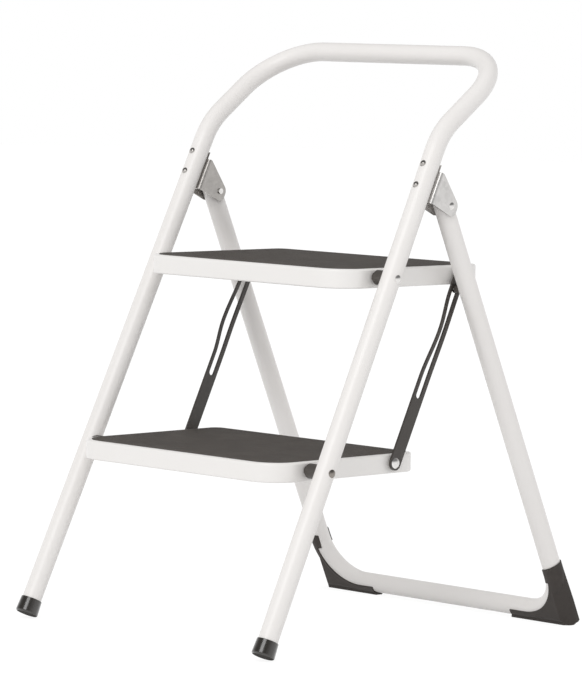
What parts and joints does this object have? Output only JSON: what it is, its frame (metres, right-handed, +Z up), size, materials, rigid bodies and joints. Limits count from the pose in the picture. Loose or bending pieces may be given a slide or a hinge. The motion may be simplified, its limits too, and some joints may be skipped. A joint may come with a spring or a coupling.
{
  "type": "step stool",
  "caption": "Folding two-step stool with a raised grip rail: bent tube front frame, hinged U-shaped rear frame, wide treads with ribbed mats, slotted side links and black foot caps.",
  "frame": {"origin": "centre of the footprint at floor level, with the stool open and standing", "axes": "+Z up, +X across the width, +Y towards the rear frame; the user climbs from the -Y side"},
  "size_m": [0.4634, 0.5856, 0.7504],
  "materials": {
    "frame_paint": "light grey-white gloss powder coat",
    "tread_paint": "light grey-white gloss powder coat on pressed sheet",
    "black_plastic": "satin black moulding",
    "black_steel": "black coated flat steel",
    "zinc": "zinc plated pressed steel",
    "rivet_steel": "plated rivets and washers",
    "mat_rubber": "dark grey ribbed rubber"
  },
  "bodies": {
    "front": {"front_frame": "frame_paint", "front_cap_left": "black_plastic", "front_cap_right": "black_plastic", "bracket_left": "zinc", "bracket_right": "zinc", "bracket_rivets": "black_steel", "hinge_rivets": "rivet_steel", "upper_pivot_rivets": "rivet_steel", "lower_pivot_rivets": "rivet_steel", "pivot_washers": "rivet_steel", "upper_spacers": "black_plastic", "lower_spacers": "black_plastic"},
    "rear": {"rear_frame": "frame_paint", "rear_shoe_left": "black_plastic", "rear_shoe_right": "black_plastic", "slide_pins": "rivet_steel", "slide_bushes": "black_plastic"},
    "upper_step": {"upper_tread": "tread_paint", "upper_mat": "mat_rubber", "upper_link_rivets": "rivet_steel", "upper_link_washers": "rivet_steel"},
    "lower_step": {"lower_tread": "tread_paint", "lower_mat": "mat_rubber", "lower_link_rivets": "rivet_steel", "lower_link_washers": "rivet_steel"},
    "left_link": {"link_left": "black_steel"},
    "right_link": {"link_right": "black_steel"}
  },
  "joints": [
    {"name": "rear_frame_fold", "type": "hinge", "parent": "front", "child": "rear", "pos_m": [0, 0.02129, 0.5496], "axis": [-1, 0, 0], "range_deg": [0, 50.5]},
    {"name": "upper_step_fold", "type": "hinge", "parent": "front", "child": "upper_step", "pos_m": [0, -0.07093, 0.45943], "axis": [1, 0, 0], "range_deg": [0, 46.5]},
    {"name": "lower_step_fold", "type": "hinge", "parent": "front", "child": "lower_step", "pos_m": [0, -0.17978, 0.22331], "axis": [1, 0, 0], "range_deg": [0, 46.5]},
    {"name": "left_link_pivot", "type": "hinge", "parent": "lower_step", "child": "left_link", "pos_m": [-0.1885, -0.0295, 0.22567], "axis": [-1, 0, 0], "range_deg": [0, 46.5]},
    {"name": "right_link_pivot", "type": "hinge", "parent": "lower_step", "child": "right_link", "pos_m": [0.1885, -0.0295, 0.22567], "axis": [-1, 0, 0], "range_deg": [0, 46.5]}
  ],
  "couplings": [
    {"joint": "upper_step_fold", "follows": "rear_frame_fold", "ratio": 0.92},
    {"joint": "lower_step_fold", "follows": "rear_frame_fold", "ratio": 0.92},
    {"joint": "left_link_pivot", "follows": "rear_frame_fold", "ratio": 0.92},
    {"joint": "right_link_pivot", "follows": "rear_frame_fold", "ratio": 0.92}
  ]
}
